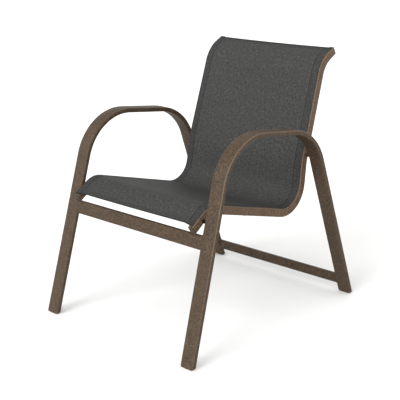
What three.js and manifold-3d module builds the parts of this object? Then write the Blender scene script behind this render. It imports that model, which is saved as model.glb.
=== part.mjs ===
// Sling patio chair: two bent flat-tube side frames, a front cross rail, a low rear stretcher and a
// sling hung between two slotted rails. Millimetres, +Z up. The chair faces -Y, its origin is on the
// floor midway between the feet, and left and right are the sitter's own. Each side frame leans and
// toes in a little, and its sling rail, spacers and bolts lie parallel to it, so they share one group
// whose X is square to the frame and zero on the frame's middle.

import * as THREE from 'three';
import { mergeVertices } from 'three/addons/utils/BufferGeometryUtils.js';
import Module from 'manifold-3d';

const wasm = await Module();
wasm.setup();

// Fits shared by every piece
const clearance = 0.3; // gap kept between pieces that touch
const overrun = 6; // how far a cutting tool reaches past what it cuts
const holePlay = 0.3; // radial room of a bolt in its hole

// Side frames, each one flat tube bent from the front foot over the arm to the rear foot
const tubeWall = 1.5;
const armTubeWidth = 50.8;
const armTubeThickness = 15.9;
const armTubeCorner = 4.5;
const footSpan = 826.4; // front foot to rear foot along the floor
const footTread = 611; // side frame to side frame at the floor, on their mid-planes
const frontLegLean = degrees(15.6);
const rearLegLean = degrees(20.5);
const armHeight = 640.4; // tube centre above the floor, midway along the chair
const armFall = degrees(6.6); // the arm drops towards the rear
const frontArmRadius = 173.4;
const rearArmRadius = 177.5;
const legSplay = degrees(0.99); // the feet stand wider than the arms
const toeIn = degrees(0.8); // the rear feet stand closer than the front ones

// Foot glides, plugs in the open leg ends
const glideHeight = 11;
const glideCorner = 8;
const glideStem = 24;

// Front cross rail and rear stretcher, flat tubes welded in between the legs
const crossTubeThickness = 12.7;
const crossTubeCorner = 3;
const frontRailHeight = 44.5;
const frontRailTop = 381.1;
const frontRailForward = 3.5; // how far its centre lies in front of the leg's centre line
const stretcherHeight = 33;
const stretcherTop = 68.7;

// Sling rails, one slotted extrusion each, bent to the profile of the chair
const railGap = 11.7; // side frame to sling rail
const railWidth = 19;
const railDepth = 27.2;
const railCorner = 3;
const railWall = 1.5;
const grooveInset = 5.1; // groove centre from the outer face
const grooveRadius = 3.8;
const slotWidth = 3;
const lipThickness = 1.6;

// Bend line of a sling rail: lengths are taken between the sharp corners of its centre line
const noseCornerZ = 446.4;
const noseSetback = 25.1; // nose corner behind the front leg's centre line
const noseLength = 85.9;
const noseDrop = degrees(34);
const seatSlope = degrees(14.25);
const seatSetback = 106.9; // rear end of the seat's run in front of the rear leg's centre line
const lumbarLength = 178;
const lumbarLean = degrees(7.5);
const backLength = 325.6;
const backLean = degrees(17);
const tipLength = 70.5;
const tipRise = degrees(28.5);
const noseRadius = 57.6;
const seatRadius = 90.9;
const lumbarRadius = 232.6;
const tipRadius = 88.6;

// End plugs of the sling rails
const plugHead = 2.4;
const plugEdge = 0.8; // how far the head's rounded rim draws in
const plugStem = 20;

// Sling: the cloth, doubled at each side round a rod that the rail's groove holds
const clothThickness = 1.2;
const splineRadius = 2;
const hemWidth = 26; // doubled cloth from the slot to the stitch line
const noseHemInset = 3; // hem pocket from the rail's end
const noseHemRise = 6; // the free front edge lies this much further up the nose
const tipHemInset = 5;
const seatSag = 9;
const backSag = 7;
const freeEdgeSag = 2;

// Spreader bars, bowed tubes that hold the sling rails apart
const spreaderRadius = 9.5;
const spreaderBow = 20;
const seatSpreaderSetback = 190; // from the nose corner, along the seat
const backSpreaderDrop = 118; // from the tip corner, along the back

// Spacers, bolts and threaded inserts that carry each sling rail where it crosses the legs
const boltRadius = 3;
const boltGrip = 10; // length of thread inside the frame
const boltHeadRadius = 5.6;
const boltHeadHeight = 3.3;
const socketRadius = 2;
const socketDepth = 1.8;
const spacerRadius = 7;
const insertRadius = 4.2;
const insertLength = 13;

// Fineness of the facets
const tubeBendStep = degrees(6.5);
const railBendStep = degrees(11.5);
const cornerSteps = 3;
const roundSides = 16;
const socketSides = 6;
const grooveSpokes = 5;
const spreaderSteps = 14;

// Colours and surfaces
const frameFinish = { color: '#64564a', roughness: 0.62, metalness: 0.1 };
const railFinish = { color: '#65574a', roughness: 0.6, metalness: 0.1 };
const plugFinish = { color: '#51463c', roughness: 0.7, metalness: 0 };
const clothFinish = { color: '#545453', roughness: 0.95, metalness: 0 };
const rodFinish = { color: '#2d2c2b', roughness: 0.8, metalness: 0 };
const steelFinish = { color: '#8d8c88', roughness: 0.4, metalness: 0.9 };

function degrees(angle) {
  return THREE.MathUtils.degToRad(angle);
}

// Solids and cuts

function toSolid(geometry) {
  const bare = geometry.clone();
  bare.deleteAttribute('normal');
  bare.deleteAttribute('uv');
  const merged = mergeVertices(bare);
  const vertProperties = Float32Array.from(merged.getAttribute('position').array);
  const triVerts = Uint32Array.from(merged.getIndex().array);
  return new wasm.Manifold(new wasm.Mesh({ numProp: 3, vertProperties, triVerts }));
}

function toGeometry(solid) {
  const { numProp, vertProperties, triVerts } = solid.getMesh();
  const geometry = new THREE.BufferGeometry();
  const points = [];
  for (let i = 0; i < vertProperties.length; i += numProp) {
    points.push(vertProperties[i], vertProperties[i + 1], vertProperties[i + 2]);
  }
  geometry.setAttribute('position', new THREE.Float32BufferAttribute(points, 3));
  geometry.setIndex(Array.from(triVerts));
  geometry.computeVertexNormals();
  return geometry;
}

function cut(geometry, ...tools) {
  let solid = toSolid(geometry);
  for (const tool of tools) solid = solid.subtract(toSolid(tool));
  return toGeometry(solid);
}

function joined(...geometries) {
  return toGeometry(geometries.map(toSolid).reduce((whole, part) => whole.add(part)));
}

function piece(name, geometry, surface) {
  const mesh = new THREE.Mesh(geometry, new THREE.MeshStandardMaterial(surface));
  mesh.name = name;
  return mesh;
}

// Outlines, counterclockwise in their own plane

function arcPoints(centreX, centreY, radius, from, to, steps) {
  const points = [];
  for (let i = 0; i <= steps; i += 1) {
    const angle = from + ((to - from) * i) / steps;
    points.push(new THREE.Vector2(centreX + radius * Math.cos(angle), centreY + radius * Math.sin(angle)));
  }
  return points;
}

function roundedRectangle(width, height, radius, steps = cornerSteps) {
  const x = width / 2 - radius;
  const y = height / 2 - radius;
  return [
    ...arcPoints(x, y, radius, 0, Math.PI / 2, steps),
    ...arcPoints(-x, y, radius, Math.PI / 2, Math.PI, steps),
    ...arcPoints(-x, -y, radius, Math.PI, Math.PI * 1.5, steps),
    ...arcPoints(x, -y, radius, Math.PI * 1.5, Math.PI * 2, steps),
  ];
}

function circleOutline(radius, sides) {
  return arcPoints(0, 0, radius, 0, Math.PI * 2 * (1 - 1 / sides), sides - 1);
}

function facing(points, clockwise) {
  return THREE.ShapeUtils.isClockWise(points) === clockwise ? points : [...points].reverse();
}

function mirrored(points, side) {
  return points.map((point) => new THREE.Vector2(side * point.x, point.y));
}

// A point of a section in space: a station carries its origin and the directions of the section's x and y
function inSection(station, point) {
  return station.origin
    .clone()
    .addScaledVector(station.across, point.x)
    .addScaledVector(station.out, point.y);
}

// A closed skin through one section at each station. A section is an outline with holes.
function loft(stations, sectionAt, placeAt = inSection) {
  const positions = [];
  const indices = [];
  let rings = [];
  for (const [index, station] of stations.entries()) {
    const { outline, holes = [] } = sectionAt(station, index);
    rings = [facing(outline, false), ...holes.map((hole) => facing(hole, true))];
    for (const point of rings.flat()) {
      const place = placeAt(station, point, index);
      positions.push(place.x, place.y, place.z);
    }
  }
  const count = rings.reduce((sum, ring) => sum + ring.length, 0);
  const turn = new THREE.Vector3().crossVectors(stations[0].across, stations[0].out);
  const forward = turn.dot(stations[0].along) > 0;
  const addFace = (a, b, c) => (forward ? indices.push(a, b, c) : indices.push(c, b, a));

  let first = 0;
  for (const ring of rings) {
    for (let s = 0; s + 1 < stations.length; s += 1) {
      for (let i = 0; i < ring.length; i += 1) {
        const next = (i + 1) % ring.length;
        const near = s * count + first;
        const far = near + count;
        addFace(near + i, near + next, far + next);
        addFace(near + i, far + next, far + i);
      }
    }
    first += ring.length;
  }
  const last = (stations.length - 1) * count;
  for (const [a, b, c] of THREE.ShapeUtils.triangulateShape(rings[0], rings.slice(1))) {
    addFace(a, c, b);
    addFace(last + a, last + b, last + c);
  }
  const geometry = new THREE.BufferGeometry();
  geometry.setAttribute('position', new THREE.Float32BufferAttribute(positions, 3));
  geometry.setIndex(indices);
  geometry.computeVertexNormals();
  return geometry;
}

// Bend lines in the YZ plane: straight runs between corners, each inner corner rounded to its radius

function direction(heading) {
  return new THREE.Vector2(Math.cos(heading), Math.sin(heading));
}

function moved(point, heading, length) {
  return point.clone().add(direction(heading).multiplyScalar(length));
}

function crossingOf(pointA, headingA, pointB, headingB) {
  const a = direction(headingA);
  const b = direction(headingB);
  const reach = pointB.clone().sub(pointA).cross(b) / a.cross(b);
  return pointA.clone().addScaledVector(a, reach);
}

function bendLine(corners, radii, step) {
  const stations = [];
  const add = (point, heading) => {
    stations.push({
      origin: new THREE.Vector3(0, point.x, point.y),
      across: new THREE.Vector3(1, 0, 0),
      out: new THREE.Vector3(0, -Math.sin(heading), Math.cos(heading)),
      along: new THREE.Vector3(0, Math.cos(heading), Math.sin(heading)),
    });
  };
  const headings = corners.slice(1).map((corner, i) => corner.clone().sub(corners[i]).angle());
  add(corners[0], headings[0]);
  radii.forEach((radius, i) => {
    let turn = headings[i + 1] - headings[i];
    if (turn > Math.PI) turn -= Math.PI * 2;
    if (turn < -Math.PI) turn += Math.PI * 2;
    const side = Math.sign(turn);
    const entry = moved(corners[i + 1], headings[i], -radius * Math.tan(Math.abs(turn) / 2));
    const centre = moved(entry, headings[i] + (side * Math.PI) / 2, radius);
    const steps = Math.max(1, Math.round(Math.abs(turn) / step));
    for (let k = 0; k <= steps; k += 1) {
      const heading = headings[i] + (turn * k) / steps;
      add(moved(centre, heading - (side * Math.PI) / 2, radius), heading);
    }
  });
  add(corners[corners.length - 1], headings[headings.length - 1]);
  return stations;
}

// Where two bend lines cross as seen from the side, the lowest place first
function sideCrossings(lineA, offsetA, lineB) {
  const flatten = (line, offset) => line.map(({ origin, out }) => {
    return new THREE.Vector2(origin.y + out.y * offset, origin.z + out.z * offset);
  });
  const a = flatten(lineA, offsetA);
  const b = flatten(lineB, 0);
  const found = [];
  for (let i = 0; i + 1 < a.length; i += 1) {
    for (let k = 0; k + 1 < b.length; k += 1) {
      const spanA = a[i + 1].clone().sub(a[i]);
      const spanB = b[k + 1].clone().sub(b[k]);
      const gap = b[k].clone().sub(a[i]);
      const area = spanA.cross(spanB);
      const shareA = gap.cross(spanB) / area;
      const shareB = gap.cross(spanA) / area;
      const meets = shareA >= 0 && shareA <= 1 && shareB >= 0 && shareB <= 1;
      if (meets) found.push(a[i].clone().addScaledVector(spanA, shareA));
    }
  }
  return found.sort((p, q) => p.y - q.y);
}

// Round tools and pins along X, from a start to an end
function rodAlongX(radius, from, to, place, sides = roundSides) {
  const geometry = new THREE.CylinderGeometry(radius, radius, Math.abs(to - from), sides);
  geometry.rotateZ(Math.PI / 2);
  geometry.translate((from + to) / 2, place.x, place.y);
  return geometry;
}

// The two sides of the chair

function sideGroup(side) {
  const group = new THREE.Group();
  group.position.set((side * footTread) / 2, 0, 0);
  group.rotation.set(0, -side * legSplay, side * toeIn);
  group.updateMatrix();
  return group;
}

const leftGroup = sideGroup(1);
const rightGroup = sideGroup(-1);
const sides = [
  { name: 'left', side: 1, group: leftGroup },
  { name: 'right', side: -1, group: rightGroup },
];

// Everything beyond a plane that is square to both side groups' own X, for ends that meet a side
function beyond(face) {
  return sides.map(({ side, group }) => {
    const block = new THREE.BoxGeometry(armTubeWidth * 2, footSpan * 2, armHeight * 2);
    block.translate(side * (face + armTubeWidth), 0, armHeight);
    return block.applyMatrix4(group.matrix);
  });
}

// Side frames

const frontFoot = new THREE.Vector2(-footSpan / 2, 0);
const rearFoot = new THREE.Vector2(footSpan / 2, 0);
const frontLegHeading = Math.PI / 2 - frontLegLean;
const rearLegHeading = Math.PI / 2 + rearLegLean;
const armPoint = new THREE.Vector2(0, armHeight);
const armCorners = [
  moved(frontFoot, frontLegHeading, glideHeight),
  crossingOf(frontFoot, frontLegHeading, armPoint, -armFall),
  crossingOf(rearFoot, rearLegHeading, armPoint, -armFall),
  moved(rearFoot, rearLegHeading, glideHeight),
];
const armLine = bendLine(armCorners, [frontArmRadius, rearArmRadius], tubeBendStep);
const frameFace = -armTubeWidth / 2; // the left frame's inner face

function armTube() {
  const outline = roundedRectangle(armTubeWidth, armTubeThickness, armTubeCorner);
  const bore = roundedRectangle(
    armTubeWidth - tubeWall * 2,
    armTubeThickness - tubeWall * 2,
    armTubeCorner - tubeWall,
    1,
  );
  return loft(armLine, () => ({ outline, holes: [bore] }));
}

// Foot glide: a cap of the tube's outline, cut flat on the floor with rounded lower corners, and a stem
// that fills the tube's end. Its origin is the foot's centre on the floor.
function footGlide(side, legHeading) {
  const cap = new THREE.Shape(roundedRectangle(armTubeWidth, armTubeThickness, armTubeCorner));
  const capTop = glideHeight - clearance;
  const capGeometry = new THREE.ExtrudeGeometry(cap, { depth: capTop + armTubeThickness, bevelEnabled: false });
  capGeometry.translate(0, 0, -armTubeThickness);
  const stemPlay = (tubeWall + clearance) * 2;
  const stem = new THREE.Shape(
    roundedRectangle(armTubeWidth - stemPlay, armTubeThickness - stemPlay, armTubeCorner - tubeWall, 1),
  );
  const stemGeometry = new THREE.ExtrudeGeometry(stem, { depth: glideStem + capTop, bevelEnabled: false });
  const place = new THREE.Object3D();
  place.rotation.set(legHeading - Math.PI / 2, -side * legSplay, side * toeIn, 'YZX');
  place.updateMatrix();
  const plug = joined(capGeometry, stemGeometry).applyMatrix4(place.matrix);

  const reach = glideHeight + glideStem * 2;
  const half = armTubeWidth / 2 + overrun;
  const inner = armTubeWidth / 2 - glideCorner;
  const shoe = new THREE.Shape([
    new THREE.Vector2(half, reach),
    new THREE.Vector2(-half, reach),
    new THREE.Vector2(-half, glideCorner),
    new THREE.Vector2(-armTubeWidth / 2, glideCorner),
    ...arcPoints(-inner, glideCorner, glideCorner, Math.PI, Math.PI * 1.5, cornerSteps * 2).slice(1),
    ...arcPoints(inner, glideCorner, glideCorner, Math.PI * 1.5, Math.PI * 2, cornerSteps * 2),
    new THREE.Vector2(half, glideCorner),
  ]);
  const shoeGeometry = new THREE.ExtrudeGeometry(shoe, { depth: reach * 2, bevelEnabled: false });
  shoeGeometry.translate(0, 0, -reach);
  shoeGeometry.rotateX(Math.PI / 2);
  return toGeometry(toSolid(plug).intersect(toSolid(shoeGeometry)));
}

// A flat tube that runs across the chair, its ends cut to the side frames' inner faces
function crossTube(height, y, z) {
  const outline = roundedRectangle(crossTubeThickness, height, crossTubeCorner);
  const bore = roundedRectangle(
    crossTubeThickness - tubeWall * 2,
    height - tubeWall * 2,
    crossTubeCorner - tubeWall,
    1,
  );
  const shape = new THREE.Shape(outline);
  shape.holes.push(new THREE.Path(facing(bore, true)));
  const geometry = new THREE.ExtrudeGeometry(shape, { depth: footTread, bevelEnabled: false });
  geometry.translate(0, 0, -footTread / 2);
  geometry.rotateX(Math.PI / 2);
  geometry.rotateZ(Math.PI / 2);
  geometry.translate(0, y, z);
  return cut(geometry, ...beyond(frameFace - clearance));
}

function legCentreY(foot, heading, height) {
  return foot.x + height / Math.tan(heading);
}

const frontRailZ = frontRailTop - frontRailHeight / 2;
const frontRailY = legCentreY(frontFoot, frontLegHeading, frontRailZ) - frontRailForward;
const stretcherZ = stretcherTop - stretcherHeight / 2;
const stretcherY = legCentreY(rearFoot, rearLegHeading, stretcherZ);

// Sling rails

const noseCornerY = legCentreY(frontFoot, frontLegHeading, noseCornerZ) + noseSetback;
const noseCorner = new THREE.Vector2(noseCornerY, noseCornerZ);
const seatEnd = new THREE.Vector2(rearFoot.x - seatSetback, 0);
const seatCorner = crossingOf(noseCorner, -seatSlope, seatEnd, rearLegHeading);
const seatLength = noseCorner.distanceTo(seatCorner);
const lumbarCorner = moved(seatCorner, Math.PI / 2 - lumbarLean, lumbarLength);
const tipCorner = moved(lumbarCorner, Math.PI / 2 - backLean, backLength);
const railCorners = [
  moved(noseCorner, noseDrop, -noseLength),
  noseCorner,
  seatCorner,
  lumbarCorner,
  tipCorner,
  moved(tipCorner, tipRise, tipLength),
];
const railRadii = [noseRadius, seatRadius, lumbarRadius, tipRadius];
const railLine = bendLine(railCorners, railRadii, railBendStep);

// The left rail's section in its side group: x runs outwards, y from the centre line to the sitter
const railOuter = frameFace - railGap;
const railInner = railOuter - railWidth;
const railMiddle = (railOuter + railInner) / 2;
const frontFace = railDepth / 2;
const grooveX = railOuter - grooveInset;
const grooveY = frontFace - lipThickness - Math.sqrt(grooveRadius ** 2 - (slotWidth / 2) ** 2);
const chamberTop = grooveY - grooveRadius - railWall;
const chamberBottom = railWall - frontFace;
const chamberY = (chamberTop + chamberBottom) / 2;
const chamberWidth = railWidth - railWall * 2;

// A round eye on the same spokes whatever its radius, from the right of its neck clockwise to the left
function eyeOutline(centreX, centreY, radius) {
  const from = Math.PI / 2 + Math.PI / grooveSpokes;
  const to = Math.PI * 2.5 - Math.PI / grooveSpokes;
  return arcPoints(centreX, centreY, radius, from, to, grooveSpokes - 1);
}

// A keyhole open at the top: a neck of the given half-width down to an eye, left to right
function keyhole(centreX, centreY, radius, neckHalf, topY) {
  const neckY = centreY + Math.sqrt(radius ** 2 - neckHalf ** 2);
  return [
    new THREE.Vector2(centreX - neckHalf, topY),
    new THREE.Vector2(centreX - neckHalf, neckY),
    ...eyeOutline(centreX, centreY, radius),
    new THREE.Vector2(centreX + neckHalf, neckY),
    new THREE.Vector2(centreX + neckHalf, topY),
  ];
}

function railOutline() {
  const left = railInner + railCorner;
  const right = railOuter - railCorner;
  const high = frontFace - railCorner;
  const steps = cornerSteps - 1;
  return [
    ...arcPoints(left, high, railCorner, Math.PI, Math.PI / 2, steps),
    ...keyhole(grooveX, grooveY, grooveRadius, slotWidth / 2, frontFace),
    ...arcPoints(right, high, railCorner, Math.PI / 2, 0, steps),
    ...arcPoints(right, -high, railCorner, 0, -Math.PI / 2, steps),
    ...arcPoints(left, -high, railCorner, -Math.PI / 2, -Math.PI, steps),
  ];
}

function chamberOutline(inset) {
  const centre = new THREE.Vector2(railMiddle, chamberY);
  return roundedRectangle(chamberWidth - inset * 2, chamberTop - chamberBottom - inset * 2, railWall, 1)
    .map((point) => point.add(centre));
}

// The rail is bolted to its side frame where the two cross, once low at the front and once at the rear
const crossings = sideCrossings(railLine, chamberY, armLine);
const carriers = [
  { end: 'front', place: crossings[0] },
  { end: 'rear', place: crossings[crossings.length - 1] },
];
const boltHoleRadius = boltRadius + holePlay;

function boltHoles(side) {
  const from = side * (railInner - overrun);
  const to = side * (railOuter + overrun);
  return carriers.map(({ place }) => rodAlongX(boltHoleRadius, from, to, place));
}

function insertHoles(side) {
  const from = side * (frameFace - overrun);
  const to = side * (frameFace + tubeWall + overrun);
  return carriers.map(({ place }) => rodAlongX(insertRadius + clearance, from, to, place));
}

function slingRail(side) {
  const outline = mirrored(railOutline(), side);
  const chamber = mirrored(chamberOutline(0), side);
  const extrusion = loft(railLine, () => ({ outline, holes: [chamber] }));
  return cut(extrusion, ...boltHoles(side));
}

// End plug of a sling rail: a head of the rail's outline over its end and a stem in its chamber
function railPlug(side, station, outward) {
  const at = (distance) => ({
    ...station,
    origin: station.origin.clone().addScaledVector(station.along, outward * distance),
    along: station.along.clone().multiplyScalar(outward),
  });
  const centre = new THREE.Vector2(railMiddle, 0);
  const headOutline = (inset) => {
    const outline = roundedRectangle(railWidth - inset * 2, railDepth - inset * 2, railCorner, cornerSteps - 1);
    return mirrored(outline.map((point) => point.add(centre)), side);
  };
  const insets = [0, 0, plugEdge];
  const headStations = [at(clearance), at(plugHead - plugEdge), at(plugHead)];
  const head = loft(headStations, (_, i) => ({ outline: headOutline(insets[i]) }));
  const stemOutline = mirrored(chamberOutline(clearance), side);
  const stem = loft([at(-plugStem), at(plugHead / 2)], () => ({ outline: stemOutline }));
  return joined(head, stem);
}

// Sling

// The stations of the rail's line that the hem covers, with one more in the middle of each long run
function hemLine() {
  const first = railLine[0];
  const last = railLine[railLine.length - 1];
  const stations = [
    { ...first, origin: first.origin.clone().addScaledVector(first.along, noseHemInset) },
    ...railLine.slice(1, -1),
    { ...last, origin: last.origin.clone().addScaledVector(last.along, -tipHemInset) },
  ];
  return stations.flatMap((station, i) => {
    const next = stations[i + 1];
    if (!next || next.origin.distanceTo(station.origin) < seatLength / 3) return [station];
    return [station, { ...station, origin: station.origin.clone().lerp(next.origin, 1 / 2) }];
  });
}

const slingLine = hemLine();
const clothBottom = frontFace + clearance;
const clothTop = clothBottom + clothThickness * 2;
const pocketRadius = grooveRadius - clearance;
const pocketBore = splineRadius + clearance;

// The sling's section is drawn about the chair's middle, its two hems as they lie in the side groups
const halfTread = footTread / 2;
const grooveReach = halfTread + grooveX;
const stitchReach = grooveReach - slotWidth / 2 - hemWidth;
const spanShares = [0, 0.4, 0.75];

// How far the middle of the cloth hangs below a straight line across, by distance along the rail
function sagAt(distance, total) {
  const bend = noseLength + seatLength;
  const onSeat = distance < bend;
  const reach = onSeat ? bend : total - bend;
  const swell = Math.sin((Math.PI * (onSeat ? distance : distance - bend)) / reach);
  return freeEdgeSag + ((onSeat ? seatSag : backSag) - freeEdgeSag) * swell;
}

function slingSection(sag) {
  const drop = (reach) => sag * (1 - (reach / stitchReach) ** 2);
  const top = spanShares.map((share) => {
    const reach = stitchReach * share;
    return new THREE.Vector2(reach, clothTop - drop(reach));
  });
  const under = top.map((point) => new THREE.Vector2(point.x, point.y - clothThickness));
  const pocket = keyhole(grooveReach, grooveY, pocketRadius, clothThickness, clothTop).reverse();
  pocket[pocket.length - 1].y = clothBottom;
  const hemTop = new THREE.Vector2(stitchReach, clothTop);
  const hemUnder = new THREE.Vector2(stitchReach, clothBottom);
  const right = [...top, hemTop, ...pocket, hemUnder, ...[...under].reverse()];
  const left = mirrored(right.slice(1, -1), -1).reverse();
  const eye = eyeOutline(grooveReach, grooveY, pocketBore);
  return { outline: [...right, ...left], holes: [eye, mirrored(eye, -1)] };
}

// A point of the sling: its hems follow the rails, the cloth between them is drawn straight across, and
// the free front edge lies further up the nose than its corners do
function inSling(station, point, index) {
  const reach = Math.abs(point.x);
  const held = Math.max(reach, stitchReach);
  const place = new THREE.Vector3(held - halfTread, station.origin.y, station.origin.z);
  place.addScaledVector(station.out, point.y);
  if (index === 0) {
    const share = THREE.MathUtils.clamp((grooveReach - reach) / (grooveReach - stitchReach), 0, 1);
    place.addScaledVector(station.along, noseHemRise * share);
  }
  place.applyMatrix4(leftGroup.matrix);
  place.x *= point.x / held;
  return place;
}

function sling() {
  const distances = [0];
  for (let i = 1; i < slingLine.length; i += 1) {
    distances.push(distances[i - 1] + slingLine[i].origin.distanceTo(slingLine[i - 1].origin));
  }
  const total = distances[distances.length - 1];
  return loft(slingLine, (_, i) => slingSection(sagAt(distances[i], total)), inSling);
}

function spline(side) {
  const outline = mirrored(eyeOutline(grooveX, grooveY, splineRadius), side);
  return loft(slingLine, () => ({ outline }));
}

// Spreader bars: tubes bowed away from the sitter, cut to the inner faces of the sling rails
function spreader(point, heading) {
  const end = new THREE.Vector3(railInner, point.x, point.y).applyMatrix4(leftGroup.matrix);
  const reach = end.x + overrun;
  const out = new THREE.Vector3(0, -Math.sin(heading), Math.cos(heading));
  const along = new THREE.Vector3(0, Math.cos(heading), Math.sin(heading));
  const stations = [];
  for (let i = 0; i <= spreaderSteps; i += 1) {
    const x = -reach + (reach * 2 * i) / spreaderSteps;
    const bow = chamberY - spreaderBow * (1 - (x / reach) ** 2);
    stations.push({
      origin: new THREE.Vector3(x, end.y, end.z).addScaledVector(out, bow),
      across: along,
      out,
      along: new THREE.Vector3(1, 0, 0),
    });
  }
  const outline = circleOutline(spreaderRadius, roundSides);
  const bore = circleOutline(spreaderRadius - tubeWall, roundSides / 2);
  return cut(loft(stations, () => ({ outline, holes: [bore] })), ...beyond(railInner - clearance));
}

// Fasteners

function bolt(side, place) {
  const seat = railInner - clearance;
  const headEnd = seat - boltHeadHeight;
  const shank = rodAlongX(boltRadius, side * (seat - clearance), side * (frameFace + boltGrip), place);
  const head = rodAlongX(boltHeadRadius, side * headEnd, side * seat, place);
  const from = side * (headEnd - overrun);
  const socket = rodAlongX(socketRadius, from, side * (headEnd + socketDepth), place, socketSides);
  return cut(joined(head, shank), socket);
}

function sleeve(side, radius, from, to, place) {
  const body = rodAlongX(radius, side * from, side * to, place);
  return cut(body, rodAlongX(boltHoleRadius, side * (from - overrun), side * (to + overrun), place));
}

// The chair

const chair = new THREE.Group();
const feet = [
  { end: 'front', heading: frontLegHeading, foot: frontFoot },
  { end: 'rear', heading: rearLegHeading, foot: rearFoot },
];
const railEnds = [
  { end: 'nose', station: railLine[0], outward: -1 },
  { end: 'tip', station: railLine[railLine.length - 1], outward: 1 },
];

for (const { name, side, group } of sides) {
  group.add(piece(`${name}_arm_frame`, cut(armTube(), ...insertHoles(side)), frameFinish));
  group.add(piece(`${name}_sling_rail`, slingRail(side), railFinish));
  group.add(piece(`${name}_spline`, spline(side), rodFinish));
  for (const { end, station, outward } of railEnds) {
    group.add(piece(`${name}_${end}_plug`, railPlug(side, station, outward), plugFinish));
  }
  for (const { end, place } of carriers) {
    const spacer = sleeve(side, spacerRadius, railOuter + clearance, frameFace - clearance, place);
    const insert = sleeve(side, insertRadius, frameFace, frameFace + insertLength, place);
    group.add(piece(`${name}_${end}_spacer`, spacer, frameFinish));
    group.add(piece(`${name}_${end}_bolt`, bolt(side, place), steelFinish));
    group.add(piece(`${name}_${end}_insert`, insert, steelFinish));
  }
  chair.add(group);

  for (const { end, heading, foot } of feet) {
    const glide = piece(`${name}_${end}_glide`, footGlide(side, heading), plugFinish);
    glide.position.set(0, foot.x, 0).applyMatrix4(group.matrix).setZ(0);
    chair.add(glide);
  }
}

chair.add(piece('front_cross_rail', crossTube(frontRailHeight, frontRailY, frontRailZ), frameFinish));
chair.add(piece('rear_stretcher', crossTube(stretcherHeight, stretcherY, stretcherZ), frameFinish));

const seatSpreaderPoint = moved(noseCorner, -seatSlope, seatSpreaderSetback);
chair.add(piece('seat_spreader', spreader(seatSpreaderPoint, -seatSlope), railFinish));
const backHeading = Math.PI / 2 - backLean;
const backSpreaderPoint = moved(tipCorner, backHeading, -backSpreaderDrop);
chair.add(piece('back_spreader', spreader(backSpreaderPoint, backHeading), railFinish));

chair.add(piece('sling', sling(), clothFinish));

export default chair;
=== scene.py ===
"""Looks of the sling patio chair: bent flat-tube side frames, slotted sling rails and a woven sling.

Every shape is worked out in millimetres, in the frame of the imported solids: +Z up, the chair faces -Y,
+X is the sitter's left. The side frames lean and toe in a little, and the rails lie parallel to them, so
both are drawn in a side's own frame first, whose X is square to the side.
"""

import math

import bmesh
import bpy
import numpy as np
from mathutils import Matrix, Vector
from mathutils.geometry import tessellate_polygon


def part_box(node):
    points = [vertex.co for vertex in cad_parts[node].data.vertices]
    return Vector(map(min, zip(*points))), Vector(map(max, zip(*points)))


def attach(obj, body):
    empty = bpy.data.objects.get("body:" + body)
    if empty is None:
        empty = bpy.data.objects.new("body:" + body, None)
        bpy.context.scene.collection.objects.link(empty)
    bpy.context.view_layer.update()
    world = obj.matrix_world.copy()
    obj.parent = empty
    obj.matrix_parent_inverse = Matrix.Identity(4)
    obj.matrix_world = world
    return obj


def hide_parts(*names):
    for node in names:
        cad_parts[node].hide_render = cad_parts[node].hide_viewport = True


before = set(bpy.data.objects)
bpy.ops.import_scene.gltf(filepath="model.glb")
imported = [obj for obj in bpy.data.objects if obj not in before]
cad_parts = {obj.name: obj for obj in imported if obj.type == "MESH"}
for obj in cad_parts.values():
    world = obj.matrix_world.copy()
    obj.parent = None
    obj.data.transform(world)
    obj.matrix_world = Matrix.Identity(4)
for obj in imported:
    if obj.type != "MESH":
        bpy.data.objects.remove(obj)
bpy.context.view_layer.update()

MILLIMETRE = 0.001
QUARTER = math.pi / 2  # a quarter turn
CLEARANCE = 0.3
ARM_SPACING, RAIL_SPACING = 5.0, 4.0
SAME_PLACE = 2e-6  # metres within which points of a piece join
STRAIGHT = 1e-6  # an outline's turn that counts as none
ARC_POINTS = 91
ARM_STEPS, CROSS_STEPS, GLIDE_STEPS, RAIL_STEPS, CHAMBER_STEPS = 7, 6, 8, 5, 2  # on each rounded corner
GROOVE_STEPS = 14

# Side frames
TUBE_WALL = 1.5
ARM_WIDTH, ARM_THICKNESS, ARM_CORNER = 50.8, 15.9, 4.5
FOOT_SPAN, FOOT_TREAD = 826.4, 611.0
FRONT_LEAN, REAR_LEAN = math.radians(15.6), math.radians(20.5)
ARM_HEIGHT, ARM_FALL = 640.4, math.radians(6.6)
FRONT_ARM_RADIUS, REAR_ARM_RADIUS = 173.4, 177.5
LEG_SPLAY, TOE_IN = math.radians(0.99), math.radians(0.8)

# Foot glides: their lower corners are quarter ellipses, GLIDE_CORNER wide and GLIDE_RISE high
GLIDE_HEIGHT, GLIDE_CORNER, GLIDE_RISE, GLIDE_RIM = 11.0, 14.0, 10.2, 1.0
GLIDE_RING_INSETS = (0, 0.08, 0.3, 0.6, 1.0, 3.0, 6.5)
GLIDE_MIDDLE, GLIDE_LEAST_CORNER = 0.6, 0.3
GLIDE_TOP_GAP = 0.05
ELLIPSE_END = 0.999  # where an ellipse is cut off, short of its upright end

# Wear of the corners and a painted highlight on them, as shares: most on an arm's outer top corner and on a
# rail's front corners.
# On an arm it grows between two heights.
WEAR_AND_HIGHLIGHT_FROM, WEAR_AND_HIGHLIGHT_TO = 120.0, 450.0
WEAR_AND_HIGHLIGHT_AT_FEET, WEAR_AND_HIGHLIGHT_ELSEWHERE, WEAR_AND_HIGHLIGHT_BEHIND_RAIL = 0.3, 0.2, 0.15

# Cross tubes
CROSS_THICKNESS, CROSS_CORNER = 12.7, 2.4
FRONT_RAIL_HEIGHT, FRONT_RAIL_TOP, FRONT_RAIL_FORWARD = 44.5, 381.1, 3.5
STRETCHER_HEIGHT, STRETCHER_TOP = 33.0, 68.7

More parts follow.
